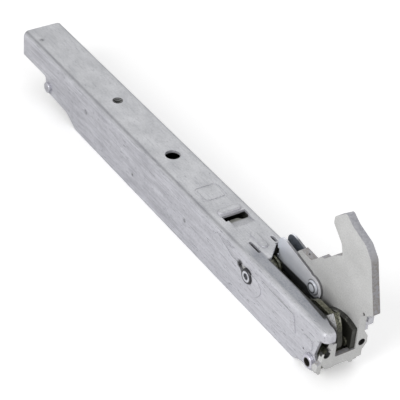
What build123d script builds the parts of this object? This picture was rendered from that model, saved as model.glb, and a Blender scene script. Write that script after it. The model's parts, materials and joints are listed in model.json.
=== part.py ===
from build123d import *
import math
import os

# An oven door hinge, in millimetres: a pressed channel case with a hooked claw turning on a pin at its
# near end, and the pull bar, guide roller and coil spring that close it inside.
# Along is measured up the case from its far end (+X), across from the outer face of the left wall (+Y),
# and height from the outer face of the web (+Z). The finished pieces are moved last, so that the mouth
# of the threaded hole is the origin.

# Sheet case
case_width = 18.0
case_depth = 22.4
sheet = 1.2
bend_inner = 1.2
emboss = 0.35
foot_height = 11.2
near_edge_past_pivot = 3.6
lip_past_pivot = 6.7
lip_height = 4.4
lip_width = 4.4
tab_reach = 2.1

# Stations along the case, and heights of the axes below the web
thread_station = 63.5
screw_station = 105.4
anchor_station = 22.8
link_station = 138.0
pivot_station = 211.4
pull_drop = 14.7
guide_drop = 8.0
pivot_drop = 16.6

# Window and tongue, along from the link and across
window_start = 8.8
window_end = 12.0
tongue_tip = 10.1
tongue_root = 16.6
tongue_left = 5.5
tongue_right = 14.0
tongue_dip = 1.8

# Clearances
face_gap = 0.1
pin_gap = 0.05
side_gap = 0.3

# Fixing holes in the web
thread_radius = 2.1
thread_collar_radius = 3.2
thread_depth = 3.0
screw_radius = 3.0

# Claw and the plates riveted to it
claw_thickness = 3.0
end_plate = 2.1
crank_thickness = 2.1
cam_thickness = 2.2
crank_throw = 9.0
crank_angle = 135.0
crank_arc_radius = 15.2
boss_radius = 4.4
end_hole_radius = 1.4
latch_rise = 14.2
latch_back = 18.4
tie_station_past_pivot = 2.8
tie_rise = 6.6

# Turned pieces
pivot_radius = 2.2
pivot_bore_radius = 1.5
pivot_bore_depth = 3.0
pivot_head_radius = 2.7
pivot_head = 0.8
washer_radius = 3.2
washer = 0.5
bush_radius = 4.0
spacer_radius = 3.6
crank_pin_radius = 2.2
crank_bush_radius = 3.0
small_pin_radius = 2.0
anchor_head_radius = 3.0
link_overhang = 0.8
sleeve_radius = 2.8
tie_radius = 1.2
tie_head_radius = 1.7
latch_rivet_radius = 1.5
latch_head_radius = 2.7
rivet_head = 0.8

# Guide roller
roller_width = 4.0
groove_width = 2.4
groove_radius = 3.6
flange_radius = 4.5
collar_radius = 3.0
collar_proud = 0.9
collar_bore_radius = 1.3

# Pull bar and spring
bar_thickness = 2.0
bar_to_crank = 0.8
slot_gap = 0.35
hook_wall = 3.2
ear_thickness = 2.0
ear_gap = 0.2
ear_radius = 3.6
plug_width = 4.0
wire_radius = 0.9
coil_radius = 4.6
coil_pitch = 3.6
coil_turns = 26
plug_flange = 1.5
plug_length = 12.0

# Latch
latch_sheet = 0.9
latch_bend = 1.4
latch_end_radius = 4.6
latch_length = 22.0
latch_over_guide = 0.7
guide_station = pivot_station - latch_back - latch_length + latch_over_guide
latch_crown = 8.6
latch_bridge = 2.2

# Derived lines across the case
inner_left = sheet
inner_right = case_width - sheet
claw_outer = inner_right - face_gap
claw_inner = claw_outer - claw_thickness
crank_inner = claw_inner - crank_thickness
bar_outer = crank_inner - bar_to_crank
bar_inner = bar_outer - bar_thickness
pull_line = (bar_outer + bar_inner) / 2
cam_outer = bar_inner - side_gap
cam_inner = cam_outer - cam_thickness
ear_inner = pull_line - bar_thickness / 2 - ear_gap
ear_outer = pull_line + bar_thickness / 2 + ear_gap
roller_left = pull_line - roller_width / 2
roller_right = pull_line + roller_width / 2

# Derived places in the side view: (along, height)
pivot = (pivot_station, -pivot_drop)
anchor = (anchor_station, -pull_drop)
link = (link_station, -pull_drop)
guide = (guide_station, -guide_drop)
crank = (
    pivot_station + crank_throw * math.cos(math.radians(crank_angle)),
    -pivot_drop + crank_throw * math.sin(math.radians(crank_angle)),
)
latch_axis = (pivot_station - latch_back, -pivot_drop + latch_rise)
tie = (pivot_station + tie_station_past_pivot, -pivot_drop + tie_rise)
case_length = pivot_station + lip_past_pivot
near_edge = pivot_station + near_edge_past_pivot
plate_outer = case_length + face_gap
plate_inner = plate_outer - end_plate
wall_bottom = -case_depth
bend_outer = bend_inner + sheet
spring_start = anchor_station + ear_radius + 8.2
spring_end = spring_start + coil_turns * coil_pitch + 2 * wire_radius


# Helpers
def corners_face(corners):
    """Face inside a closed run of (along, height, corner radius)."""
    points = [(along, height) for along, height, radius in corners]
    radii = [radius for along, height, radius in corners]
    return make_face(FilletPolyline(*points, radius=radii, close=True).edges())


def moved(corners, place):
    """The same corners, measured from another place."""
    return [(place[0] + along, place[1] + height, radius) for along, height, radius in corners]


def disc(radius, place):
    return Pos(place[0], place[1]) * Circle(radius)


def plate(face, start, end):
    """Side-view face made into a plate between two lines across the case."""
    return Pos(0, start, 0) * extrude(Plane.XZ * face, end - start, dir=(0, 1, 0))


def rod(radius, place, start, end):
    """Round bar across the case."""
    middle = Pos(place[0], (start + end) / 2, place[1])
    return middle * Rot(90, 0, 0) * Cylinder(radius, end - start)


def block(along, across, height):
    """Block between three pairs of limits."""
    size = [pair[1] - pair[0] for pair in (along, across, height)]
    middle = [(pair[0] + pair[1]) / 2 for pair in (along, across, height)]
    return Pos(*middle) * Box(*size)


def domed(radius, place, start, end, rounding):
    """Rivet or pin head whose free face, at end, is rounded."""
    head = rod(radius, place, min(start, end), max(start, end))
    rims = head.edges().filter_by(GeomType.CIRCLE).group_by(Axis.Y)
    return fillet(rims[-1 if end > start else 0], rounding)


# Case
def folded_block(along, across, height, radius):
    """Block with the rounded edges of a channel that is closed at its near end."""
    body = block(along, across, height)
    long_edges = body.edges().filter_by(Axis.X).group_by(Axis.Z)[-1]
    end_edge = body.edges().filter_by(Axis.Y).group_by(Axis.Z)[-1].sort_by(Axis.X)[-1:]
    left_upright = body.edges().filter_by(Axis.Z).group_by(Axis.X)[-1].sort_by(Axis.Y)[:1]
    return fillet(long_edges + end_edge + left_upright, radius)


def case_side():
    """Side view of both walls before the right one is cut down."""
    lobe = 3.0
    return corners_face([
        (-1.0, 1.0, 0),
        (-1.0, -foot_height, 0),
        (anchor_station - lobe, -foot_height, 1.0),
        (anchor_station - lobe, -pull_drop - lobe, lobe - 0.2),
        (anchor_station + 15.0, -pull_drop - lobe - 0.6, 6.0),
        (anchor_station + 22.7, wall_bottom, 4.0),
        (pivot_station - 9.4, wall_bottom, 4.0),
        (pivot_station - 5.0, -pivot_drop - near_edge_past_pivot - 0.1, 3.0),
        (near_edge, -pivot_drop - near_edge_past_pivot, near_edge_past_pivot - 0.1),
        (near_edge, -pivot_drop + 1.8, 1.0),
        (near_edge - 1.7, -pivot_drop + 4.2, 1.2),
        (near_edge, -pivot_drop + 10.8, 2.0),
        (near_edge, -lip_height, 0.8),
        (case_length + 1.0, -lip_height, 0),
        (case_length + 1.0, 1.0, 0),
    ])


def right_wall_cut():
    """Side view of what the right wall loses, to leave room for the latch."""
    clear = latch_end_radius + 1.2
    start = guide_station - 2.9
    step = corners_face([
        (start, 2.0, 0),
        (start, -3.5, 1.5),
        (guide_station + 9.3, -3.5, 2.0),
        (latch_axis[0] - clear + 0.2, latch_axis[1] - clear, 2.0),
        (case_length + 2.0, latch_axis[1] - clear, 0),
        (case_length + 2.0, 2.0, 0),
    ])
    reach = math.hypot(latch_back, latch_rise) - latch_end_radius - 0.54
    return step - disc(reach, pivot)


def web_cut():
    """Plan of the opening that the claw, the pull bar and the latch work through."""
    strip = cam_inner - side_gap
    start = guide_station - 2.9
    return corners_face([
        (start, inner_right, 0),
        (start, claw_inner, 0.6),
        (start + 5.5, 7.9, 1.0),
        (start + 6.9, strip, 2.0),
        (pivot_station - 2.2, strip, 4.0),
        (pivot_station + 2.7, lip_width, 3.0),
        (case_length + 1.0, lip_width, 0),
        (case_length + 1.0, inner_right, 0),
    ])


def keyhole():
    """Outline of the slot in the left wall that the guide roller's axle is put in through."""
    tip = disc(0.8, (guide_station - 4.6, -guide_drop + 1.5))
    return make_hull((tip + disc(collar_radius + face_gap, guide)).edges())


def wall_pads():
    """Stretches of the left wall pressed outwards: round the keyhole, a crease, and over the pivot."""
    round_keyhole = corners_face(moved([
        (-23.1, 2.4, 1.5),
        (-20.2, 5.9, 1.5),
        (-10.4, 2.0, 4.0),
        (5.7, 2.3, 3.0),
        (9.6, -1.0, 2.5),
        (6.8, -4.9, 2.5),
        (2.7, -7.3, 2.0),
        (-13.2, -6.0, 4.0),
    ], guide))
    crease = corners_face(moved([
        (-31.4, 12.8, 0.3),
        (-23.0, 12.6, 1.0),
        (-11.3, 12.1, 1.5),
        (-9.2, 5.3, 0.3),
        (-10.2, 5.2, 0.3),
        (-12.1, 11.1, 1.0),
        (-23.0, 11.6, 1.0),
        (-31.4, 12.2, 0.2),
    ], pivot))
    over_pivot = corners_face(moved([
        (-6.4, 4.2, 1.5),
        (-5.6, 8.8, 2.5),
        (0.4, 9.2, 2.0),
        (0.6, 4.6, 1.0),
    ], pivot))
    return [round_keyhole, crease, over_pivot]


def pressed_rib(along, across, length, width, height):
    """Rounded rib pressed up out of the web, with its hollow below."""
    place = Pos(along, across, 0)
    skin = extrude(Plane.XY * SlotOverall(length, width), height)
    skin = fillet(skin.edges().group_by(Axis.Z)[-1], height * 0.8)
    hollow = extrude(Plane.XY * SlotOverall(length - sheet, width - sheet), sheet - 0.4, dir=(0, 0, 1))
    return place * skin, place * Pos(0, 0, -sheet) * hollow


def spring_tongue():
    """Tongue pressed down behind the window of the web, with its two drawn flanks."""
    start = link_station + tongue_tip
    end = link_station + tongue_root
    near = link_station + window_end
    dip_near = tongue_dip * (end - near) / (end - start)
    tongue = plate(corners_face([
        (end + 0.6, 0, 0),
        (end, 0, 0),
        (start, -tongue_dip, 0),
        (start + 0.4, -tongue_dip - sheet, 0),
        (end + 0.2, -sheet, 0),
        (end + 0.6, -sheet, 0),
    ]), tongue_left, tongue_right)
    plan = corners_face([
        (start - 0.1, tongue_left + 1.7, 1.4),
        (start - 0.1, tongue_left + 5.1, 1.2),
        (near + 0.1, tongue_left + 6.0, 0.6),
        (near + 0.1, tongue_right + 1, 0),
        (end + 1, tongue_right + 1, 0),
        (end + 1, tongue_left - 1, 0),
        (near + 0.1, tongue_left - 1, 0),
        (near + 0.1, tongue_left + 0.8, 0.4),
    ])
    tongue &= extrude(Pos(0, 0, -5) * plan, 6, dir=(0, 0, 1))
    flank = corners_face([
        (end, -sheet + 0.3, 0),
        (near + 0.1, -sheet + 0.3, 0),
        (near + 0.1, -dip_near - sheet + 0.2, 0),
        (end, -sheet, 0),
    ])
    tongue += plate(flank, tongue_left - 0.6, tongue_left)
    return tongue + plate(flank, tongue_right, tongue_right + 0.6)


def case():
    """Channel of folded sheet: web on top, two side walls, rounded lips at the near end."""
    outer = folded_block((0, case_length), (0, case_width), (-case_depth, 0), bend_outer)
    inner = folded_block(
        (-1, case_length - sheet), (inner_left, inner_right), (-case_depth - 1, -sheet), bend_inner
    )
    body = (outer - inner) & plate(case_side(), -1, case_width + 1)

    # Openings of the web
    body -= extrude(Pos(0, 0, -case_depth) * web_cut(), case_depth + 2, dir=(0, 0, 1))
    body -= plate(right_wall_cut(), case_width / 2 + 4, case_width + 1)
    through = (-sheet - 0.5, 1)
    window = (link_station + window_start, link_station + window_end)
    body -= block(window, (tongue_left - 1.2, tongue_right + 0.6), through)
    body -= block((window[1] - 0.1, link_station + tongue_root), (tongue_left, tongue_right), through)
    body += spring_tongue()
    for along, across, length in [
        (guide_station - 4.4, 5.3, 6.8),
        (guide_station - 5.3, 14.2, 3.6),
    ]:
        slot = Pos(along, across, -sheet - 0.5) * SlotOverall(length, 1.3)
        body -= extrude(slot, sheet + 1, dir=(0, 0, 1))

    # Pressed marks on the web
    for along, across, length, width, height, turned in [
        (guide_station - 7.1, 8.9, 9.5, 2.8, 0.7, 0),
        (link_station + 6.8, 9.1, 9.9, 3.2, 1.1, 90),
    ]:
        skin, hollow = pressed_rib(0, 0, length, width, height)
        body += Pos(along, across, 0) * Rot(0, 0, turned) * skin
        body -= Pos(along, across, 0) * Rot(0, 0, turned) * hollow
    mark = Plane.XY * RectangleRounded(9.0, 10.0, 1.6) - Plane.XY * RectangleRounded(7.4, 8.4, 0.9)
    body -= Pos(link_station - 5.5, 9.0, 0) * extrude(mark, 0.2, dir=(0, 0, -1))

    # Pressed pads on the left wall, with the hollow behind each
    for pad in wall_pads():
        body += plate(pad, -emboss, 0.2)
        body -= plate(pad, sheet - emboss, sheet + 0.5)

    # Holes
    collar = extrude(Circle(thread_collar_radius), thread_depth - 0.2, dir=(0, 0, -1))
    body += Pos(thread_station, case_width / 2, -0.2) * collar
    thread_bore = Cylinder(thread_radius, thread_depth + 2)
    body -= Pos(thread_station, case_width / 2, -thread_depth / 2) * thread_bore
    body -= Pos(screw_station, case_width / 2, -sheet) * Cylinder(screw_radius, 4)
    body -= plate(keyhole(), -1, inner_left + 1)
    body -= rod(small_pin_radius + pin_gap, guide, inner_right - 1, case_width + 1)
    for radius, place in [(pivot_radius, pivot), (small_pin_radius, anchor)]:
        body -= rod(radius + pin_gap, place, -1, case_width + 1)
    body -= rod(0.45, (pivot_station - 4.2, -pivot_drop + 2.4), -1, inner_left + 1)

    # Tab bent outwards at the near end of the right wall
    tab = (case_width - 0.2, case_width + tab_reach)
    body += block((case_length - sheet, case_length), tab, (-2.6, 0.4))
    return body


# Claw and the plates that turn with it
def claw_side():
    """Side view of the claw plate."""
    hook = corners_face(moved([
        (-13.4, 45.8, 1.5),
        (-13.3, 48.6, 2.0),
        (-7.6, 53.6, 1.2),
        (-3.6, 50.9, 3.0),
        (3.8, 48.3, 3.0),
        (7.7, 44.2, 2.0),
        (12.9, 24.4, 0.8),
        (8.9, 21.4, 0.3),
        (plate_outer - pivot_station, 20.6, 0.4),
        (plate_outer - pivot_station, 0.9, 0),
        (plate_inner - pivot_station, 0.9, 0),
        (plate_inner - pivot_station, -2.2, 0),
        (0, -boss_radius, 0),
        (-9.4, -3.0, 3.0),
        (-31.0, 17.8, 2.0),
        (-30.7, 21.0, 1.0),
        (-28.6, 23.4, 1.0),
        (-22.4, 23.0, 1.2),
        (-17.2, 28.5, 0.5),
        (-15.7, 28.6, 0.5),
        (-10.6, 33.8, 1.5),
        (-6.7, 36.4, 0.8),
        (-8.0, 40.6, 3.0),
    ], pivot))
    return hook + disc(boss_radius, pivot)


def end_plate_face():
    """End view of the plate across the mouth of the case: (across, height), from the pivot's height."""
    right = case_width + 0.5
    corners = [
        (-0.1, 8.0, 0.8),
        (3.2, 8.8, 0.6),
        (3.6, 11.3, 0.6),
        (5.0, 11.3, 0.4),
        (5.0, 5.1, 0.8),
        (claw_inner, 5.1, 0.2),
        (claw_inner, 12.0, 0),
        (claw_outer, 12.0, 0.5),
        (right - 0.1, 9.2, 1.0),
        (right, 6.0, 2.0),
        (15.2, 1.6, 0.8),
        (13.8, 1.4, 0.3),
        (13.0, -0.5, 0.3),
        (11.8, -0.4, 0.3),
        (10.8, 0.9, 0.5),
        (5.7, 1.0, 2.0),
        (4.0, 0.5, 1.5),
        (1.2, 0.9, 1.0),
        (-0.4, 3.8, 0.1),
        (-0.5, -0.3, 0.4),
        (-1.5, -0.5, 0.5),
        (-2.6, 1.4, 0.8),
        (-2.2, 3.6, 0.8),
        (-0.5, 4.8, 0.8),
    ]
    return corners_face([(across, height - pivot_drop, radius) for across, height, radius in corners])


def claw_lever():
    """Hooked claw with the plate across the mouth of the case, in one piece."""
    body = plate(claw_side(), claw_inner, claw_outer)
    face = Plane.YZ * end_plate_face()
    body += Pos(plate_inner, 0, 0) * extrude(face, end_plate, dir=(1, 0, 0))

    # Foot beside the pivot, outside the left wall
    foot = corners_face(moved([
        (4.4, 3.2, 0),
        (5.6, 3.6, 0),
        (5.6, -0.3, 0),
        (4.6, -0.3, 0.6),
        (3.4, 0.4, 0.4),
        (3.6, 2.0, 0),
    ], pivot)) - disc(washer_radius + side_gap, pivot)
    body += plate(foot, -1.9, -0.5)

    # Small holes through the two legs
    hole_height = -pivot_drop + 7.2
    for across in (1.5, claw_outer - 0.6):
        place = Pos(plate_outer, across, hole_height) * Rot(0, 90, 0)
        body -= place * Cylinder(end_hole_radius, 2 * end_plate + 1.0)

    # Pin and rivet holes, the relief beside the fold and the pit on the ear
    holes = [
        (pivot_radius + pin_gap, pivot),
        (crank_pin_radius, crank),
        (latch_rivet_radius, latch_axis),
        (tie_radius, tie),
        (0.6, (pivot[0] + 8.3, pivot[1] + 21.8)),
    ]
    for radius, place in holes:
        body -= rod(radius, place, claw_inner - 1, claw_outer + 1)
    pit = Pos(pivot[0] - 25.3, (claw_inner + claw_outer) / 2, pivot[1] + 23.2)
    return body - pit * Cylinder(0.5, 1.2)


def lobe_side(radius):
    """Side view that the two inner plates share: a boss on the pivot joined to one on the crank pin."""
    return make_hull((disc(boss_radius, pivot) + disc(radius, crank)).edges())


def cam_plate():
    """Inner plate on the left of the pull bar, with a finger up through the web."""
    finger = corners_face(moved([
        (-11.5, 9.4, 1.5),
        (-4.9, 13.1, 1.0),
        (1.4, 20.1, 0.5),
        (3.9, 16.4, 1.0),
        (5.4, 10.0, 3.0),
        (5.4, 7.0, 2.0),
        (3.6, 5.3, 0),
        (0, -1.0, 0),
        (-6.0, 4.0, 0),
    ], pivot))
    body = plate(finger + lobe_side(crank_pin_radius + 1.8), cam_inner, cam_outer)
    body -= rod(pivot_radius + pin_gap, pivot, 0, case_width)
    return body - rod(crank_pin_radius, crank, 0, case_width)


def crank_plate():
    """Inner plate against the claw, with a top edge turned about the pivot."""
    sector = corners_face(moved([
        (-crank_arc_radius, 0.5, 0),
        (-crank_arc_radius, crank_arc_radius + 1, 0),
        (6.2, crank_arc_radius + 1, 0),
        (6.2, 5.3, 0),
        (3.6, 5.3, 0),
        (3.6, 0.5, 0),
    ], pivot)) & disc(crank_arc_radius, pivot)
    trim = corners_face(moved([
        (-11.5, -1, 0),
        (-9.0, 12.0, 2.0),
        (-3.0, 20.0, 0),
        (8.0, 20.0, 0),
        (8.0, -1, 0),
    ], pivot))
    body = plate((sector & trim) + lobe_side(crank_pin_radius + 1.8), crank_inner, claw_inner)
    body -= rod(pivot_radius + pin_gap, pivot, 0, case_width)
    body -= rod(crank_pin_radius, crank, 0, case_width)
    return body - rod(tie_radius, tie, 0, case_width)


def crank_pin():
    """Headed pin that carries the hook of the pull bar round the pivot."""
    return rod(crank_pin_radius, crank, cam_inner - rivet_head, claw_outer) + domed(
        crank_pin_radius + 0.8, crank, cam_inner, cam_inner - rivet_head, 0.4
    )


def crank_bush():
    """Bush on the crank pin that the hook bears on."""
    bush = rod(crank_bush_radius, crank, cam_outer + face_gap, crank_inner - face_gap)
    return bush - rod(crank_pin_radius + pin_gap, crank, 0, case_width)


def pivot_spacer():
    """Spacer between the two inner plates on the pivot."""
    bore = rod(pivot_radius + pin_gap, pivot, 0, case_width)
    return rod(spacer_radius, pivot, cam_outer, crank_inner) - bore


def pivot_bush():
    """Bush between the left wall and the cam plate."""
    bush = rod(bush_radius, pivot, inner_left + face_gap, cam_inner - face_gap)
    return bush - rod(pivot_radius + pin_gap, pivot, 0, case_width)


def tie_rivet():
    """Rivet that holds the crank plate to the claw."""
    return rod(tie_radius, tie, crank_inner - 0.6, claw_outer) + domed(
        tie_head_radius, tie, crank_inner, crank_inner - 0.6, 0.3
    )


# Pivot pin
def main_pivot_pin():
    """Pin of the claw, hollow at both ends where it is spread over its washers."""
    left = -washer - pivot_head
    right = case_width + washer + pivot_head
    body = rod(pivot_radius, pivot, left, right)
    body += domed(pivot_head_radius, pivot, -washer, left, 0.35)
    body += domed(pivot_head_radius, pivot, case_width + washer, right, 0.35)
    body -= rod(pivot_bore_radius, pivot, left - 1, left + pivot_bore_depth)
    return body - rod(pivot_bore_radius, pivot, right - pivot_bore_depth, right + 1)


def pivot_washer(start):
    """Washer under one head of the pivot pin."""
    ring = rod(washer_radius, pivot, start, start + washer)
    return ring - rod(pivot_radius + pin_gap, pivot, start - 1, start + washer + 1)


# Latch
def latch_side(lower):
    """Side view of one cheek of the latch, above the given lower corners."""
    upper = [
        (-latch_length, latch_crown, 3.2),
        (-latch_length + 5.6, latch_crown - 0.7, 3.0),
        (-0.4, latch_end_radius - 0.05, 3.0),
        (0, -latch_end_radius + 0.1, 0),
    ]
    return corners_face(moved(upper + lower, latch_axis)) + disc(latch_end_radius, latch_axis)


def latch():
    """Sheet latch: two cheeks on the rivet, joined at their far end by a low bridge."""
    cheek_left = claw_inner - face_gap - latch_sheet
    cheek_right = claw_outer + face_gap + latch_sheet
    back = latch_axis[0] - latch_length
    low = -0.6
    drop = -latch_end_radius - 0.4
    over_axle = -2.3
    left_side = latch_side([
        (-2.0, drop, 1.0),
        (-latch_length + 4.2, drop, 1.0),
        (-latch_length + 3.4, over_axle, 0.5),
        (-latch_length, over_axle, 0.8),
    ])
    right_side = latch_side([
        (-latch_end_radius - 1.8, low, 3.0),
        (-latch_length, low, 0.5),
    ])
    body = plate(left_side, cheek_left, cheek_left + latch_sheet)
    body += plate(right_side, cheek_right - latch_sheet, cheek_right)

    # Bridge, with the two bends that join it to the cheeks
    bend = (back, back + latch_bend)
    level = (latch_axis[1] + low, latch_axis[1] + latch_bridge)
    outer = block((back, back + 2 * latch_bend), (cheek_left, cheek_right), level)
    outer = fillet(outer.edges().filter_by(Axis.Z).group_by(Axis.X)[0], latch_bend)
    inner = block(
        (back + latch_sheet, back + 3 * latch_bend),
        (cheek_left + latch_sheet, cheek_right - latch_sheet),
        (-10, 10),
    )
    inner = fillet(inner.edges().filter_by(Axis.Z).group_by(Axis.X)[0], latch_bend - latch_sheet)
    body -= block(bend, (cheek_left - 1, cheek_right + 1), level)
    body += (outer - inner) & block(bend, (cheek_left, cheek_right), level)
    return body - rod(latch_rivet_radius + pin_gap, latch_axis, 0, case_width + 1)


def latch_rivet():
    """Rivet of the latch, with a domed head on each cheek."""
    left = claw_inner - face_gap - latch_sheet
    right = claw_outer + face_gap + latch_sheet
    body = rod(latch_rivet_radius, latch_axis, left - rivet_head, right + rivet_head)
    body += domed(latch_head_radius, latch_axis, left, left - rivet_head, 0.5)
    return body + domed(latch_head_radius, latch_axis, right, right + rivet_head, 0.5)


# Pull bar and spring
def pull_bar():
    """Flat bar from the spring's plug to the hook on the crank."""
    slot = crank_bush_radius + slot_gap
    slot_top = -pivot_drop + crank_throw
    prong_end = slot_top - 4.3
    under_roller = -guide_drop - groove_radius - side_gap
    eye = ear_radius
    tail_top = -pull_drop + eye
    tail_low = -pull_drop - eye
    bar_low = under_roller - 5.2
    hook_left = crank[0] - slot - hook_wall
    hook_right = crank[0] + slot + hook_wall
    outline = corners_face([
        (link_station, tail_top, 0),
        (link_station + 14.0, tail_top, 3.0),
        (link_station + 16.5, under_roller, 3.0),
        (guide_station + 15.0, under_roller, 4.0),
        (hook_left - 3.0, slot_top + 2.6, 3.0),
        (hook_left + 1.0, slot_top + 5.9, 4.0),
        (hook_right, slot_top + 5.9, 4.0),
        (hook_right, prong_end, 1.0),
        (crank[0] + slot, prong_end, 0),
        (crank[0] + slot, slot_top, 0),
        (crank[0] - slot, slot_top, 0),
        (crank[0] - slot, prong_end, 0.4),
        (hook_left - 3.5, prong_end - 0.7, 3.0),
        (guide_station + 16.6, bar_low, 4.0),
        (link_station + 17.0, bar_low, 4.0),
        (link_station + 13.0, tail_low, 3.0),
        (link_station, tail_low, 0),
    ])
    side = outline + disc(eye, link) - disc(slot, (crank[0], slot_top))
    return plate(side, bar_inner, bar_outer) - rod(small_pin_radius + pin_gap, link, 0, case_width)


def link_pin():
    """Pin between the pull bar and the spring's front plug."""
    ends = (ear_inner - ear_thickness - link_overhang, ear_outer + ear_thickness + link_overhang)
    return rod(small_pin_radius, link, *ends)


def plug_core(start, end):
    """Round body of a plug that the coil grips, along the pull line."""
    middle = Pos((start + end) / 2, pull_line, -pull_drop)
    return middle * Rot(0, 90, 0) * Cylinder(coil_radius - wire_radius - 0.2, end - start)


def plug_rim(start, end):
    """Flange that the last turn of the coil rests on."""
    middle = Pos((start + end) / 2, pull_line, -pull_drop)
    return middle * Rot(0, 90, 0) * Cylinder(coil_radius + 0.7, end - start)


def spring_plug_front():
    """Plug in the coil's near end, with a fork for the pull bar."""
    rim = (spring_end + 0.2, spring_end + 0.2 + plug_flange)
    body = plug_core(spring_end - 12.0, rim[0] + 0.5) + plug_rim(*rim)
    ear = disc(ear_radius, link) + Pos((rim[0] + 0.5 + link_station) / 2, -pull_drop) * Rectangle(
        link_station - rim[0] - 0.5, 2 * ear_radius
    )
    body += plate(ear, ear_inner - ear_thickness, ear_inner)
    body += plate(ear, ear_outer, ear_outer + ear_thickness)
    return body - rod(small_pin_radius + pin_gap, link, 0, case_width)


def spring_plug_rear():
    """Plug in the coil's far end, with a lug on the anchor pin."""
    rim = (spring_start - 0.2 - plug_flange, spring_start - 0.2)
    body = plug_core(rim[1] - 0.5, spring_start + plug_length) + plug_rim(*rim)
    lug = disc(ear_radius, anchor) + Pos((rim[0] + 0.5 + anchor_station) / 2, -pull_drop) * Rectangle(
        rim[0] + 0.5 - anchor_station, 2 * ear_radius
    )
    body += plate(lug, pull_line - plug_width / 2, pull_line + plug_width / 2)
    return body - rod(small_pin_radius + pin_gap, anchor, 0, case_width)


def spring():
    """Coil spring, wound along the pull line."""
    length = coil_turns * coil_pitch
    path = Helix(coil_pitch, length, coil_radius)
    wire = Plane(origin=path @ 0, z_dir=path % 0) * Circle(wire_radius)
    coil = sweep(wire, path=path, is_frenet=True)
    return Pos(spring_start + wire_radius, pull_line, -pull_drop) * Rot(0, 90, 0) * coil


def anchor_pin():
    """Pin across the far end of the case that holds the spring."""
    body = rod(small_pin_radius, anchor, -1.3, case_width + 1.2)
    body += domed(small_pin_radius + 0.3, anchor, 0, -1.3, 0.4)
    return body + domed(anchor_head_radius, anchor, case_width, case_width + 1.2, 0.5)


def sleeve(radius, place, start, end):
    """Spacing sleeve on a cross pin."""
    tube = rod(radius, place, start, end)
    return tube - rod(small_pin_radius + pin_gap, place, start - 1, end + 1)


# Guide roller
def guide_roller():
    """Grooved roller that the pull bar runs under."""
    body = rod(flange_radius, guide, roller_left, roller_right)
    groove = (pull_line - groove_width / 2, pull_line + groove_width / 2)
    ring = rod(flange_radius + 1, guide, *groove) - rod(groove_radius, guide, *groove)
    return body - ring - rod(small_pin_radius + pin_gap, guide, 0, case_width)


def roller_axle():
    """Axle of the guide roller, with a hollow collar in the keyhole and a head on the right."""
    body = rod(collar_radius, guide, -collar_proud, inner_left + face_gap)
    body = chamfer(body.edges().filter_by(GeomType.CIRCLE).group_by(Axis.Y)[0], 0.3)
    body += rod(small_pin_radius, guide, 0, case_width + 0.9)
    body += domed(collar_radius - 0.1, guide, case_width, case_width + 0.9, 0.4)
    return body - rod(collar_bore_radius, guide, -collar_proud - 1, inner_left)


# Output
plug_left = pull_line - plug_width / 2
plug_right = pull_line + plug_width / 2
pieces = {
    "case": case(),
    "claw_lever": claw_lever(),
    "cam_plate": cam_plate(),
    "crank_plate": crank_plate(),
    "crank_pin": crank_pin(),
    "crank_bush": crank_bush(),
    "pivot_spacer": pivot_spacer(),
    "pivot_bush": pivot_bush(),
    "tie_rivet": tie_rivet(),
    "main_pivot_pin": main_pivot_pin(),
    "pivot_washer_left": pivot_washer(-washer),
    "pivot_washer_right": pivot_washer(case_width),
    "latch": latch(),
    "latch_rivet": latch_rivet(),
    "pull_bar": pull_bar(),
    "link_pin": link_pin(),
    "spring_plug_front": spring_plug_front(),
    "spring_plug_rear": spring_plug_rear(),
    "spring": spring(),
    "anchor_pin": anchor_pin(),
    "anchor_sleeve_left": sleeve(sleeve_radius, anchor, inner_left + face_gap, plug_left - face_gap),
    "anchor_sleeve_right": sleeve(sleeve_radius, anchor, plug_right + face_gap, claw_outer),
    "guide_roller": guide_roller(),
    "roller_axle": roller_axle(),
    "axle_sleeve_left": sleeve(sleeve_radius, guide, inner_left + face_gap, roller_left - face_gap),
    "axle_sleeve_right": sleeve(sleeve_radius - side_gap, guide, roller_right + face_gap, claw_outer),
}
os.makedirs("parts", exist_ok=True)
for name, shape in pieces.items():
    export_step(Pos(-thread_station, -case_width / 2, 0) * shape, f"parts/{name}.step")
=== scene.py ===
import json
import math

import bmesh
import bpy
from mathutils import Matrix, Vector


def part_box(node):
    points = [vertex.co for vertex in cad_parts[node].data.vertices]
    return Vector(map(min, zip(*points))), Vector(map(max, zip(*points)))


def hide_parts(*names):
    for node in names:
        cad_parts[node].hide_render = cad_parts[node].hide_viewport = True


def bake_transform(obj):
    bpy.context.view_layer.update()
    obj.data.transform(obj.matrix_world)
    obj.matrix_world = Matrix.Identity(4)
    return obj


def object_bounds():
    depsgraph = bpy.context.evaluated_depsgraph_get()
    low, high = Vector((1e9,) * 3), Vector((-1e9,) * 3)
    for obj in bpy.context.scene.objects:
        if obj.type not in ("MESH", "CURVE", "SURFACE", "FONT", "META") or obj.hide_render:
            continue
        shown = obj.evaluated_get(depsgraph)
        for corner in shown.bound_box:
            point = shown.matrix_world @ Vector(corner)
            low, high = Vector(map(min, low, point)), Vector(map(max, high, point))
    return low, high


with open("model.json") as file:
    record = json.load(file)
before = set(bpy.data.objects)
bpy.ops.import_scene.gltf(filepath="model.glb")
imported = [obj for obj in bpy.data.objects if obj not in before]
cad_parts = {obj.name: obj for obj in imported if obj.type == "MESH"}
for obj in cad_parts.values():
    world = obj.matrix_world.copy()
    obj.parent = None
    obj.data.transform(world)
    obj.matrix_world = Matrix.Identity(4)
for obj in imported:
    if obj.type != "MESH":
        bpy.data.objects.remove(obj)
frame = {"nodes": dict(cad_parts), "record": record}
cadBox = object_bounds()
print("frame loaded:", len(frame["nodes"]), "nodes")

mm = 0.001

# Where the photo was taken from, and how the lens was set: degrees and millimetres
photoCamera = {
    "azimuth": -35.15,
    "elevation": 36.81,
    "roll": 4.61,
    "position": (463.4, -282.4, 359.1),
    "lens": 146.4,
    "sensor": 36.0,
    "nearest": 10.0,
}


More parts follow.
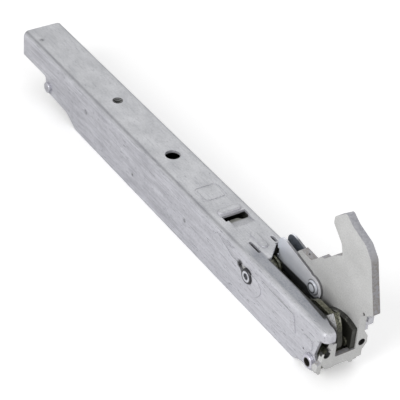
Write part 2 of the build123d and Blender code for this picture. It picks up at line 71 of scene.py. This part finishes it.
def aimCamera(values):
    azimuth = math.radians(values["azimuth"])
    elevation = math.radians(values["elevation"])
    level = math.cos(elevation)
    back = Vector((level * math.cos(azimuth), level * math.sin(azimuth), math.sin(elevation)))
    right = Vector((0, 0, 1)).cross(back).normalized()
    up = back.cross(right)
    roll = Matrix.Rotation(math.radians(values["roll"]), 3, back)
    axes = Matrix((roll @ right, roll @ up, back)).transposed()
    camera = bpy.data.objects.new("camera", bpy.data.cameras.new("camera"))
    camera.data.lens = values["lens"]
    camera.data.sensor_width = values["sensor"]
    camera.data.clip_start = values["nearest"] * mm
    camera.matrix_world = Matrix.Translation(Vector(values["position"]) * mm) @ axes.to_4x4()
    bpy.context.collection.objects.link(camera)
    bpy.context.scene.camera = camera


aimCamera(photoCamera)


# Shader helpers: every pattern is read in millimetres of the object
def startMaterial(name):
    material = bpy.data.materials.new(name)
    material.use_nodes = True
    tree = material.node_tree
    tree.nodes.clear()
    output = tree.nodes.new("ShaderNodeOutputMaterial")
    shader = tree.nodes.new("ShaderNodeBsdfPrincipled")
    tree.links.new(shader.outputs["BSDF"], output.inputs["Surface"])
    return material, tree, shader


# Sets a socket from a number or a colour, or links it
def feed(tree, socket, value):
    if isinstance(value, (int, float)):
        socket.default_value = value
    elif isinstance(value, (tuple, list)):
        socket.default_value = (*value, 1.0)
    else:
        tree.links.new(value, socket)


def noiseOn(tree, perMillimetre, detail, roughness):
    coords = tree.nodes.new("ShaderNodeTexCoord")
    mapping = tree.nodes.new("ShaderNodeMapping")
    mapping.inputs["Scale"].default_value = [scale / mm for scale in perMillimetre]
    noise = tree.nodes.new("ShaderNodeTexNoise")
    noise.inputs["Scale"].default_value = 1.0
    noise.inputs["Detail"].default_value = detail
    noise.inputs["Roughness"].default_value = roughness
    tree.links.new(coords.outputs["Object"], mapping.inputs["Vector"])
    tree.links.new(mapping.outputs["Vector"], noise.inputs["Vector"])
    return noise.outputs["Fac"]


def noiseSet(tree, settings):
    return {name: noiseOn(tree, *setting) for name, setting in settings.items()}


def spreadOut(tree, value, low, high, outLow=0.0, outHigh=1.0):
    reach = tree.nodes.new("ShaderNodeMapRange")
    reach.inputs["From Min"].default_value = low
    reach.inputs["From Max"].default_value = high
    reach.inputs["To Min"].default_value = outLow
    reach.inputs["To Max"].default_value = outHigh
    tree.links.new(value, reach.inputs["Value"])
    return reach.outputs["Result"]


def fadeOut(tree, value, low, high):
    return spreadOut(tree, value, low, high, 1.0, 0.0)


def combine(tree, kind, *values):
    maths = tree.nodes.new("ShaderNodeMath")
    maths.operation = kind
    for socket, value in zip(maths.inputs, values):
        feed(tree, socket, value)
    return maths.outputs[0]


def product(tree, *values):
    total = values[0]
    for value in values[1:]:
        total = combine(tree, "MULTIPLY", total, value)
    return total


def weigh(tree, patterns, weights):
    total = 0.0
    for name, weight in weights.items():
        total = combine(tree, "ADD", product(tree, patterns[name], weight), total)
    return total


def outside(tree, share):
    return combine(tree, "SUBTRACT", 1.0, share)


def betweenLines(tree, value, low, high, soft):
    rise = spreadOut(tree, value, low - soft, low + soft)
    return product(tree, rise, fadeOut(tree, value, high - soft, high + soft))


def blendColour(tree, share, first, second):
    mix = tree.nodes.new("ShaderNodeMix")
    mix.data_type = "RGBA"
    for socket, value in zip((mix.inputs[0], mix.inputs[6], mix.inputs[7]), (share, first, second)):
        feed(tree, socket, value)
    return mix.outputs[2]


# Lays one colour over another where all the shares meet
def layOver(tree, colour, over, *shares):
    return blendColour(tree, product(tree, *shares), colour, over)


# Lays a stain or painted shade: a colour and how strongly it lies on the piece
def stainAndShade(tree, colour, values, *shares):
    over, strength = values
    return layOver(tree, colour, over, *shares, strength)


def axisOf(tree, letter):
    coords = tree.nodes.new("ShaderNodeTexCoord")
    split = tree.nodes.new("ShaderNodeSeparateXYZ")
    tree.links.new(coords.outputs["Object"], split.inputs["Vector"])
    return combine(tree, "DIVIDE", split.outputs[letter], mm)


def spot(tree, x, y, z, radius, soft):
    coords = tree.nodes.new("ShaderNodeTexCoord")
    distance = tree.nodes.new("ShaderNodeVectorMath")
    distance.operation = "DISTANCE"
    distance.inputs[1].default_value = (x * mm, y * mm, z * mm)
    tree.links.new(coords.outputs["Object"], distance.inputs[0])
    away = combine(tree, "DIVIDE", distance.outputs["Value"], mm)
    return fadeOut(tree, away, radius - soft, radius + soft)


# Distance from an axis that runs across the case
def fromAxis(tree, x, z):
    along = combine(tree, "SUBTRACT", axisOf(tree, "X"), x)
    up = combine(tree, "SUBTRACT", axisOf(tree, "Z"), z)
    square = combine(tree, "ADD", product(tree, along, along), product(tree, up, up))
    return combine(tree, "POWER", square, 0.5)


def facing(tree, letter):
    geometry = tree.nodes.new("ShaderNodeNewGeometry")
    turned = tree.nodes.new("ShaderNodeVectorTransform")
    turned.vector_type = "NORMAL"
    turned.convert_from = "WORLD"
    turned.convert_to = "OBJECT"
    split = tree.nodes.new("ShaderNodeSeparateXYZ")
    tree.links.new(geometry.outputs["Normal"], turned.inputs["Vector"])
    tree.links.new(turned.outputs["Vector"], split.inputs["Vector"])
    return split.outputs[letter]


def facingEither(tree, letter):
    return combine(tree, "ABSOLUTE", facing(tree, letter))


def coat(tree, shader, colour, roughness, metallic):
    feed(tree, shader.inputs["Base Color"], colour)
    feed(tree, shader.inputs["Roughness"], roughness)
    feed(tree, shader.inputs["Metallic"], metallic)


def raiseGrain(tree, shader, height, strength, depth, rounding):
    edge = tree.nodes.new("ShaderNodeBevel")
    edge.samples = 6
    edge.inputs["Radius"].default_value = rounding * mm
    bump = tree.nodes.new("ShaderNodeBump")
    bump.inputs["Strength"].default_value = strength
    bump.inputs["Distance"].default_value = depth * mm
    tree.links.new(height, bump.inputs["Height"])
    tree.links.new(edge.outputs["Normal"], bump.inputs["Normal"])
    tree.links.new(bump.outputs["Normal"], shader.inputs["Normal"])


def dress(nodeName, material):
    node = frame["nodes"][nodeName]
    node.data.materials.clear()
    node.data.materials.append(material)


# Case: galvanised sheet, drawn along its length
caseFinish = {
    "dark": (0.40, 0.40, 0.435),
    "light": (0.66, 0.66, 0.705),
    "shadedWebDark": (0.36, 0.365, 0.385),
    "shadedWebLight": (0.55, 0.555, 0.575),
    "strip": (0.15, 0.16, 0.19),
    "stripStrength": (0.35, 0.9),
    "slotGapShade": (0.015, 0.015, 0.015),
    "slotGapShadeStrength": (0.95, 0.45),
    # Stains and painted shade: colour and strength
    "near": ((0.72, 0.72, 0.765), 0.35),
    "scratch": ((0.25, 0.25, 0.29), 0.6),
    "nick": ((0.16, 0.16, 0.19), 0.7),
    "bendShadeLine": ((0.20, 0.20, 0.22), 0.5),
    "mark": ((0.10, 0.10, 0.11), 0.85),
    "keyholeShade": ((0.02, 0.02, 0.02), 0.9),
    "innerShade": ((0.16, 0.16, 0.13), 0.85),
    # Thread rings painted as shade and light: dark, light and pitch
    "threadShadeRings": ((0.02, 0.02, 0.02), (0.70, 0.70, 0.70)),
    "threadPitch": 0.8,
    "roughness": (0.38, 0.54),
    "metallic": 0.35,
    "rounding": 0.3,
    # Repeats a millimetre along, across and up, then detail and roughness
    "noise": {
        "streaks": ((0.03, 1.1, 1.1), 4.0, 0.6),
        "fine": ((0.16, 4.5, 4.5), 3.0, 0.6),
        "clouds": ((0.10, 0.16, 0.16), 3.0, 0.5),
        "speckle": ((1.3, 1.3, 1.3), 3.0, 0.7),
        "blotches": ((0.07, 0.35, 0.35), 4.0, 0.65),
        "scratches": ((0.09, 3.2, 3.2), 2.0, 0.5),
        "nicks": ((0.35, 2.4, 2.4), 2.0, 0.6),
    },
    # Where a pattern starts and ends, in millimetres
    "nearAlong": (50.0, 115.0),
    "webAbove": (-1.2, -0.8),
    "lineAcross": (-8.1, -7.35),
    "lineFades": (101.0, 105.0),
    "stripAcross": (-7.4, -3.0),
    "stripAlong": (104.0, 150.0),
    "slotAlong": (111.5, 147.5),
    "slotMiddle": (-1.5, -1.0),
    "slotSlant": (130.0, 146.4, -3.6, -4.9),
    "innerShadeBelow": (-1.35, -1.0),
    "innerShadeAcross": (-8.2, 8.2),
    "innerShadeFades": (144.0, 149.0),
    # Round places: along, across, up, radius
    "keyhole": (103.2, -9.0, -5.9, 1.5),
    "tappedHole": (0.0, 0.0, -1.5, 2.9),
    "marks": [
        (-9.6, -9.0, -8.5, 1.0),
        (-54.0, -5.4, 0.0, 0.9),
        (28.0, -9.0, -15.5, 0.7),
        (66.0, -9.0, -12.0, 0.8),
    ],
}


# Walls lighter toward the near end, with the upward-facing web painted darker as shade over its own
# mottle, scratched and nicked
def sheetColour(tree, values, noise):
    drawn = weigh(tree, noise, {"streaks": 0.28, "fine": 0.22, "blotches": 0.3, "speckle": 0.2})
    wall = blendColour(tree, spreadOut(tree, drawn, 0.40, 0.60), values["dark"], values["light"])
    wall = stainAndShade(tree, wall, values["near"], spreadOut(tree, axisOf(tree, "X"), *values["nearAlong"]))
    mottle = weigh(tree, noise, {"clouds": 0.4, "speckle": 0.35, "fine": 0.25})
    shadedWeb = blendColour(tree, spreadOut(tree, mottle, 0.38, 0.62), values["shadedWebDark"], values["shadedWebLight"])
    # Painted shade: faces turned up take the darker web colours
    colour = layOver(tree, wall, shadedWeb, spreadOut(tree, facing(tree, "Z"), 0.4, 0.8))
    colour = stainAndShade(tree, colour, values["scratch"], spreadOut(tree, noise["scratches"], 0.60, 0.70))
    return stainAndShade(tree, colour, values["nick"], spreadOut(tree, noise["nicks"], 0.64, 0.70))


# Painted shade along the bend, and a darker blotchy strip beside the slot
def sheetShadeLineAndStrip(tree, values, noise, colour):
    along, across, up = (axisOf(tree, letter) for letter in "XYZ")
    # Painted shade: a dark line along the web beside the bend
    line = product(
        tree,
        betweenLines(tree, across, *values["lineAcross"], 0.25),
        fadeOut(tree, along, *values["lineFades"]),
        spreadOut(tree, up, *values["webAbove"]),
    )
    colour = stainAndShade(tree, colour, values["bendShadeLine"], line)
    strip = product(
        tree,
        betweenLines(tree, across, *values["stripAcross"], 0.4),
        betweenLines(tree, along, *values["stripAlong"], 4.0),
        spreadOut(tree, facing(tree, "Z"), 0.5, 0.9),
    )
    worn = weigh(tree, noise, {"clouds": 0.5, "speckle": 0.5})
    worn = spreadOut(tree, worn, 0.38, 0.62, *values["stripStrength"])
    return layOver(tree, colour, values["strip"], strip, worn)


# Painted shade of the slot's gap along its left edge and of the keyhole, small marks, and painted shade on
# the inner faces
def sheetShadeAndMarks(tree, values, noise, colour):
    along, across, up = (axisOf(tree, letter) for letter in "XYZ")
    slotEdge = spreadOut(tree, along, *values["slotSlant"])
    # Painted shade: the dark gap of the slot laid over the edge of the strip
    paintedShade = product(
        tree,
        spreadOut(tree, combine(tree, "SUBTRACT", across, slotEdge), 0.0, 0.35),
        fadeOut(tree, across, *values["slotMiddle"]),
        betweenLines(tree, along, *values["slotAlong"], 0.6),
        spreadOut(tree, noise["speckle"], 0.60, 0.68, *values["slotGapShadeStrength"]),
    )
    colour = layOver(tree, colour, values["slotGapShade"], paintedShade)
    broken = spreadOut(tree, noise["speckle"], 0.36, 0.50)
    for x, y, z, radius in values["marks"]:
        mark = spot(tree, x, y, z, radius, radius * 0.6)
        colour = stainAndShade(tree, colour, values["mark"], mark, broken)
    # Painted shade: the dark of the keyhole laid on the wall round it
    colour = stainAndShade(tree, colour, values["keyholeShade"], spot(tree, *values["keyhole"], 0.5))
    # Painted shade on the case's inner faces below the web, tinted olive as grease
    innerShade = product(
        tree,
        betweenLines(tree, across, *values["innerShadeAcross"], 0.15),
        fadeOut(tree, up, *values["innerShadeBelow"]),
        fadeOut(tree, along, *values["innerShadeFades"]),
    )
    return stainAndShade(tree, colour, values["innerShade"], innerShade)


# Thread rings on the wall of the tapped hole, painted as dark shade in the grooves and light on the crests
def holeThreads(tree, values, colour):
    wall = fadeOut(tree, facingEither(tree, "Z"), 0.3, 0.6)
    rings = combine(tree, "SINE", product(tree, axisOf(tree, "Z"), 2 * math.pi / values["threadPitch"]))
    threadShadeRings = blendColour(tree, spreadOut(tree, rings, -0.3, 0.5), *values["threadShadeRings"])
    return layOver(tree, colour, threadShadeRings, wall, spot(tree, *values["tappedHole"], 0.1))


def caseSheet(values):
    material, tree, shader = startMaterial("case_steel")
    noise = noiseSet(tree, values["noise"])
    colour = sheetColour(tree, values, noise)
    colour = sheetShadeLineAndStrip(tree, values, noise, colour)
    colour = sheetShadeAndMarks(tree, values, noise, colour)
    colour = holeThreads(tree, values, colour)
    roughness = spreadOut(tree, noise["fine"], 0.3, 0.7, *values["roughness"])
    coat(tree, shader, colour, roughness, values["metallic"])
    grain = weigh(tree, noise, {"streaks": 0.5, "fine": 0.3, "clouds": 0.2})
    raiseGrain(tree, shader, grain, 0.25, 0.08, values["rounding"])
    return material


dress("case", caseSheet(caseFinish))
print("case finished")


# Claw: matt zinc plate with sheared edges
clawFinish = {
    "dark": (0.50, 0.50, 0.495),
    "light": (0.66, 0.66, 0.655),
    "edgeDark": (0.31, 0.31, 0.34),
    "edgeLight": (0.43, 0.43, 0.455),
    "holeWallShade": (0.02, 0.02, 0.02),
    # Stains and painted shadow: colour and strength
    "brown": ((0.22, 0.20, 0.18), 0.8),
    "paintedShade": ((0.06, 0.06, 0.065), 0.85),
    "dot": ((0.20, 0.19, 0.18), 0.35),
    "roughness": 0.55,
    "metallic": 0.2,
    "rounding": 0.25,
    "noise": {
        "speckle": ((1.7, 1.7, 1.7), 3.0, 0.7),
        "clouds": ((0.12, 0.12, 0.12), 2.0, 0.5),
        "shear": ((1.2, 0.8, 1.2), 3.0, 0.65),
        "dots": ((2.6, 2.6, 2.6), 2.0, 0.6),
    },
    # Where a pattern ends, in millimetres
    "brownBelow": (26.0, 30.0),
    "mouthPlateBelow": (4.0, 6.0),
    "latchShadowEnds": (4.6, 5.0),
    # The painted shadow of the latch, then the small holes of the plate across the mouth, whose walls get
    # painted shade: along, across, up, radius
    "latchShadowSpot": (136.5, 3.9, -5.5, 4.5),
    "holes": ((153.2, -7.5, -9.4, 1.9), (153.9, 7.1, -9.4, 1.9)),
}


def clawPlate(values):
    material, tree, shader = startMaterial("claw_steel")
    noise = noiseSet(tree, values["noise"])
    up = axisOf(tree, "Z")
    share = spreadOut(tree, weigh(tree, noise, {"speckle": 0.65, "clouds": 0.35}), 0.36, 0.64)
    face = blendColour(tree, share, values["dark"], values["light"])
    share = spreadOut(tree, noise["shear"], 0.36, 0.64)
    edge = blendColour(tree, share, values["edgeDark"], values["edgeLight"])
    # Edges browner low down, but the plate across the mouth is as light as a face
    torn = spreadOut(tree, noise["shear"], 0.40, 0.56)
    edge = stainAndShade(tree, edge, values["brown"], fadeOut(tree, up, *values["brownBelow"]), torn)
    forward = spreadOut(tree, facing(tree, "X"), 0.6, 0.9)
    edge = layOver(tree, edge, face, forward, fadeOut(tree, up, *values["mouthPlateBelow"]))
    colour = layOver(tree, edge, face, spreadOut(tree, facingEither(tree, "Y"), 0.55, 0.85))
    # Painted shadow of the latch on the claw's left face
    leftSide = fadeOut(tree, axisOf(tree, "Y"), *values["latchShadowEnds"])
    colour = stainAndShade(tree, colour, values["paintedShade"], spot(tree, *values["latchShadowSpot"], 4.0), leftSide)
    # Painted shade on the walls of the small holes
    turnedAway = fadeOut(tree, facingEither(tree, "X"), 0.3, 0.6)
    for hole in values["holes"]:
        colour = layOver(tree, colour, values["holeWallShade"], spot(tree, *hole, 0.1), turnedAway)
    colour = stainAndShade(tree, colour, values["dot"], spreadOut(tree, noise["dots"], 0.66, 0.72))
    coat(tree, shader, colour, values["roughness"], values["metallic"])
    raiseGrain(tree, shader, noise["speckle"], 0.25, 0.08, values["rounding"])
    return material


dress("claw_lever", clawPlate(clawFinish))
print("claw finished")


# Latch: smooth blued zinc, with painted light on its upper part and painted shade darker toward its lower
# end
latchShadedFinish = {
    "upper": (0.95, 0.945, 0.98),
    "lower": (0.76, 0.79, 0.86),
    "rightCheekShade": (0.10, 0.115, 0.135),
    # Painted shade: colour and strength
    "ring": ((0.05, 0.05, 0.055), 0.75),
    "lowShade": ((0.015, 0.015, 0.017), 0.94),
    "shadedCutEdge": ((0.05, 0.05, 0.055), 0.85),
    "roughness": 0.42,
    "metallic": 0.35,
    "rounding": 0.2,
    "noise": {"clouds": ((0.3, 0.3, 0.3), 3.0, 0.6)},
    # Where a pattern starts and ends, in millimetres
    "slope": (60.0, 72.0),
    "rightCheek": (4.5, 5.5),
    "shadeBelow": (-4.5, -3.9),
    "cutEdgeFrom": (110.0, 113.0),
    # The rivet: along, across, up, and radii round it
    "rivet": (129.5, 2.4, -2.4),
    "ringRadii": (2.4, 3.35),
    "endRadius": 3.9,
}


def latchSheet(values):
    material, tree, shader = startMaterial("latch_steel")
    clouds = noiseSet(tree, values["noise"])["clouds"]
    along, across, up = (axisOf(tree, letter) for letter in "XYZ")
    patterns = {"along": along, "up": up, "clouds": clouds}
    slope = weigh(tree, patterns, {"along": 0.5, "up": 0.86, "clouds": 8.0})
    colour = blendColour(tree, spreadOut(tree, slope, *values["slope"]), values["lower"], values["upper"])
    leftFace = fadeOut(tree, facing(tree, "Y"), -0.6, -0.3)
    # Painted shade on the right cheek's inner face
    rightCheek = spreadOut(tree, across, *values["rightCheek"])
    colour = layOver(tree, colour, values["rightCheekShade"], rightCheek, leftFace)
    # Painted shade: a dark ring round the rivet, and darkness along the lower edge
    inner, outer = values["ringRadii"]
    ring = spot(tree, *values["rivet"], outer, 0.25)
    beyondHead = outside(tree, spot(tree, *values["rivet"], inner, 0.2))
    colour = stainAndShade(tree, colour, values["ring"], ring, beyondHead)
    beyondEnd = outside(tree, spot(tree, *values["rivet"], values["endRadius"], 0.3))
    low = fadeOut(tree, up, *values["shadeBelow"])
    colour = stainAndShade(tree, colour, values["lowShade"], low, beyondEnd, leftFace)
    # Cut edges of the sheet, darker: painted shade over darker cut steel
    cut = fadeOut(tree, facingEither(tree, "Y"), 0.3, 0.6)
    colour = stainAndShade(tree, colour, values["shadedCutEdge"], cut, spreadOut(tree, along, *values["cutEdgeFrom"]))
    coat(tree, shader, colour, values["roughness"], values["metallic"])
    raiseGrain(tree, shader, clouds, 0.1, 0.05, values["rounding"])
    return material


dress("latch", latchSheet(latchShadedFinish))
print("latch finished")


# Pins, rollers and the greased pieces inside
plainFinishes = {
    "pin_steel": {
        "dark": (0.42, 0.42, 0.46),
        "light": (0.66, 0.66, 0.71),
        "roughness": 0.32,
        "metallic": 0.7,
        "rounding": 0.15,
        "cloudsPerMillimetre": 1.2,
    },
    "inner_steel": {
        "dark": (0.05, 0.05, 0.035),
        "light": (0.24, 0.24, 0.18),
        "roughness": 0.36,
        "metallic": 0.6,
        "rounding": 0.15,
        "cloudsPerMillimetre": 0.8,
    },
}


def plainSteel(name, values):
    material, tree, shader = startMaterial(name)
    clouds = noiseOn(tree, [values["cloudsPerMillimetre"]] * 3, 3.0, 0.6)
    speckle = noiseOn(tree, (2.2, 2.2, 2.2), 2.0, 0.6)
    share = weigh(tree, {"clouds": clouds, "speckle": speckle}, {"clouds": 0.6, "speckle": 0.4})
    share = spreadOut(tree, share, 0.38, 0.62)
    smooth, rough = values["roughness"] - 0.06, values["roughness"] + 0.08
    colour = blendColour(tree, share, values["dark"], values["light"])
    coat(tree, shader, colour, spreadOut(tree, clouds, 0.3, 0.7, smooth, rough), values["metallic"])
    raiseGrain(tree, shader, share, 0.15, 0.05, values["rounding"])
    return material


plainMaterials = {name: plainSteel(name, values) for name, values in plainFinishes.items()}
for part in frame["record"]["subparts"]:
    if part["material_slot"] in plainMaterials:
        dress(part["node"], plainMaterials[part["material_slot"]])
dress("tie_rivet", plainMaterials["inner_steel"])


# Turned heads: bright rings with painted shade in the dark grooves, round an axis across the case
axleFinish = {
    "axis": (108.2, -8.0),
    "rings": ((-1.0, 0.55), (1.3, 2.15)),
    "bright": (0.72, 0.73, 0.78),
    "groove": (0.05, 0.05, 0.055),
    "roughness": 0.3,
    "metallic": 0.6,
}
pivotFinish = {
    "axis": (147.9, -16.6),
    "rings": ((1.75, 2.9),),
    "bright": (0.66, 0.65, 0.72),
    "groove": (0.09, 0.085, 0.075),
    "roughness": 0.3,
    "metallic": 0.6,
}


def turnedHead(name, values):
    material, tree, shader = startMaterial(name)
    away = fromAxis(tree, *values["axis"])
    lit = 0.0
    for inner, outer in values["rings"]:
        lit = combine(tree, "MAXIMUM", lit, betweenLines(tree, away, inner, outer, 0.12))
    colour = blendColour(tree, lit, values["groove"], values["bright"])
    coat(tree, shader, colour, values["roughness"], values["metallic"])
    raiseGrain(tree, shader, lit, 0.2, 0.1, 0.2)
    return material


dress("roller_axle", turnedHead("axle_steel", axleFinish))
dress("main_pivot_pin", turnedHead("pivot_steel", pivotFinish))


# Rivet of the latch: bright dome in a dark ring of painted shade
rivetFinish = {
    "centre": (129.5, 2.1, -2.4),
    "dome": 1.7,
    "ringWidth": 0.55,
    "bright": (0.86, 0.89, 0.96),
    "ring": (0.04, 0.045, 0.055),
    "rimStrength": 0.7,
    "roughness": 0.25,
    "metallic": 0.15,
}


def rivetHead(values):
    material, tree, shader = startMaterial("rivet_steel")
    dome = spot(tree, *values["centre"], values["dome"], 0.2)
    rim = outside(tree, spot(tree, *values["centre"], values["dome"] + values["ringWidth"], 0.2))
    lit = combine(tree, "MAXIMUM", dome, product(tree, rim, values["rimStrength"]))
    colour = blendColour(tree, lit, values["ring"], values["bright"])
    coat(tree, shader, colour, values["roughness"], values["metallic"])
    raiseGrain(tree, shader, dome, 0.3, 0.1, 0.3)
    return material


dress("latch_rivet", rivetHead(rivetFinish))


# Greased plates of the claw's crank: dark and light of faces and edges, then stains on them, and painted
# shade lower down
camFinish = {
    "face": ((0.36, 0.36, 0.36), (0.78, 0.78, 0.78)),
    "edge": ((0.02, 0.02, 0.012), (0.22, 0.22, 0.15)),
    "bare": ((0.50, 0.50, 0.42), 0.6),
    "lowShade": ((0.03, 0.03, 0.025), 0.8),
    "shadeBelow": (-3.5, -0.5),
    "roughness": 0.36,
    "metallic": 0.3,
}
# The crank plate is near-black: painted shade of the recess it sits in, over a dark oily finish
crankShadedFinish = {
    "face": ((0.008, 0.008, 0.007), (0.05, 0.05, 0.04)),
    "edge": ((0.012, 0.012, 0.01), (0.07, 0.07, 0.06)),
    "bare": ((0.42, 0.42, 0.38), 0.7),
    "lowShade": ((0.03, 0.03, 0.025), 0.9),
    "shadeBelow": (-3.5, -0.5),
    "roughness": 0.36,
    "metallic": 0.3,
}


def greasedPlate(name, values):
    material, tree, shader = startMaterial(name)
    speckle = noiseOn(tree, (1.5, 1.5, 1.5), 4.0, 0.75)
    smears = noiseOn(tree, (0.35, 0.8, 0.35), 3.0, 0.6)
    face = blendColour(tree, spreadOut(tree, speckle, 0.36, 0.62), *values["face"])
    edge = blendColour(tree, spreadOut(tree, speckle, 0.44, 0.66), *values["edge"])
    edge = stainAndShade(tree, edge, values["bare"], spreadOut(tree, smears, 0.56, 0.66))
    colour = layOver(tree, edge, face, spreadOut(tree, facingEither(tree, "Y"), 0.6, 0.9))
    # Painted shade: darker lower down, inside the case
    low = fadeOut(tree, axisOf(tree, "Z"), *values["shadeBelow"])
    colour = stainAndShade(tree, colour, values["lowShade"], low)
    coat(tree, shader, colour, values["roughness"], values["metallic"])
    raiseGrain(tree, shader, speckle, 0.35, 0.12, 0.25)
    return material


dress("cam_plate", greasedPlate("cam_steel", camFinish))
dress("crank_plate", greasedPlate("crank_steel", crankShadedFinish))
print("small pieces finished")


# Spring: wound wire that stretches between the case and the pull bar
springValues = {
    "wireRadius": 0.9,
    "coilRadius": 4.6,
    "turns": 26,
    "stepsPerTurn": 28,
    "wireSides": 12,
    "dark": (0.07, 0.07, 0.07),
    "light": (0.16, 0.16, 0.17),
    "roughness": 0.38,
    "metallic": 0.9,
    "rounding": 0.05,
    "cloudsPerMillimetre": 0.8,
}


def woundSpring(values):
    low, high = [Vector(corner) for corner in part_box("spring")]
    centre = (low + high) / 2
    wire, coil = values["wireRadius"] * mm, values["coilRadius"] * mm
    sides = values["wireSides"]
    steps = values["turns"] * values["stepsPerTurn"]
    travel = (high.x - low.x - 2 * wire) / steps
    start = Matrix.Translation((low.x + wire, centre.y, centre.z + coil))
    turned = start @ Matrix.Rotation(math.pi / 2, 4, "Y") @ Matrix.Rotation(math.pi / 2, 4, "X")
    bm = bmesh.new()
    ring = bmesh.ops.create_circle(bm, cap_ends=False, segments=sides, radius=wire, matrix=turned)
    edges = list({edge for vert in ring["verts"] for edge in vert.link_edges})
    bmesh.ops.spin(
        bm,
        geom=ring["verts"] + edges,
        cent=(0, centre.y, centre.z),
        axis=(1, 0, 0),
        dvec=(travel, 0, 0),
        angle=values["turns"] * 2 * math.pi,
        steps=steps,
        use_merge=False,
        use_duplicate=False,
    )
    bmesh.ops.holes_fill(bm, edges=[edge for edge in bm.edges if edge.is_boundary], sides=sides)
    bmesh.ops.recalc_face_normals(bm, faces=bm.faces)
    mesh = bpy.data.meshes.new("wound_spring")
    bm.to_mesh(mesh)
    bm.free()
    for face in mesh.polygons:
        face.use_smooth = True
    mesh.materials.append(plainSteel("spring_steel", values))
    piece = bpy.data.objects.new("wound_spring", mesh)
    bpy.context.collection.objects.link(piece)
    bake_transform(piece)
    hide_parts("spring")


woundSpring(springValues)
print("spring wound")


# Studio: pale floor, soft lamps, in metres and watts
studio = {
    "floorSize": 6.0,
    "floorColour": (0.86, 0.86, 0.86),
    "floorRoughness": 0.9,
    "floorShine": 0.1,
    "floorLift": 0.36,
    "worldLevel": 0.44,
    "mirrorLevel": 0.85,
    "lightColour": (1.0, 1.0, 1.0),
    "lampsAim": (0.05, 0, 0),
    # Place, size and power
    "lamps": {
        "key": ((0.25, -0.95, 0.62), 0.7, 6.6),
        "fill": ((-0.5, 0.5, 0.8), 0.9, 2.2),
        "front": ((0.95, 0.15, 0.45), 0.6, 1.6),
    },
}


def layFloor(values):
    bm = bmesh.new()
    bmesh.ops.create_grid(bm, x_segments=1, y_segments=1, size=values["floorSize"] / 2)
    bmesh.ops.translate(bm, verts=bm.verts, vec=(0, 0, cadBox[0][2]))
    mesh = bpy.data.meshes.new("floor")
    bm.to_mesh(mesh)
    bm.free()
    material, tree, shader = startMaterial("floor_paper")
    coat(tree, shader, values["floorColour"], values["floorRoughness"], 0.0)
    feed(tree, shader.inputs["Specular IOR Level"], values["floorShine"])
    path = tree.nodes.new("ShaderNodeLightPath")
    lift = product(tree, path.outputs["Is Camera Ray"], values["floorLift"])
    feed(tree, shader.inputs["Emission Color"], values["lightColour"])
    feed(tree, shader.inputs["Emission Strength"], lift)
    mesh.materials.append(material)
    floor = bpy.data.objects.new("floor", mesh)
    bpy.context.collection.objects.link(floor)


def hangLamp(name, place, size, power, target):
    lamp = bpy.data.objects.new(name, bpy.data.lights.new(name, "AREA"))
    lamp.data.shape = "DISK"
    lamp.data.size = size
    lamp.data.energy = power
    lamp.location = place
    aim = Vector(target) - Vector(place)
    lamp.rotation_euler = aim.to_track_quat("-Z", "Y").to_euler()
    bpy.context.collection.objects.link(lamp)


def lightWorld(values):
    world = bpy.data.worlds.new("studio")
    world.use_nodes = True
    bpy.context.scene.world = world
    tree = world.node_tree
    background = tree.nodes["Background"]
    feed(tree, background.inputs["Color"], values["lightColour"])
    path = tree.nodes.new("ShaderNodeLightPath")
    mirrored = combine(tree, "MAXIMUM", path.outputs["Is Glossy Ray"], path.outputs["Is Transmission Ray"])
    level = spreadOut(tree, mirrored, 0.0, 1.0, values["worldLevel"], values["mirrorLevel"])
    shown = spreadOut(tree, path.outputs["Is Camera Ray"], 0.0, 1.0, 0.0, 1.0 - values["worldLevel"])
    feed(tree, background.inputs["Strength"], combine(tree, "ADD", level, shown))


layFloor(studio)
lightWorld(studio)
for name, (place, size, power) in studio["lamps"].items():
    hangLamp(name, place, size, power, studio["lampsAim"])
bpy.context.scene.view_settings.view_transform = "Standard"
print("studio ready")
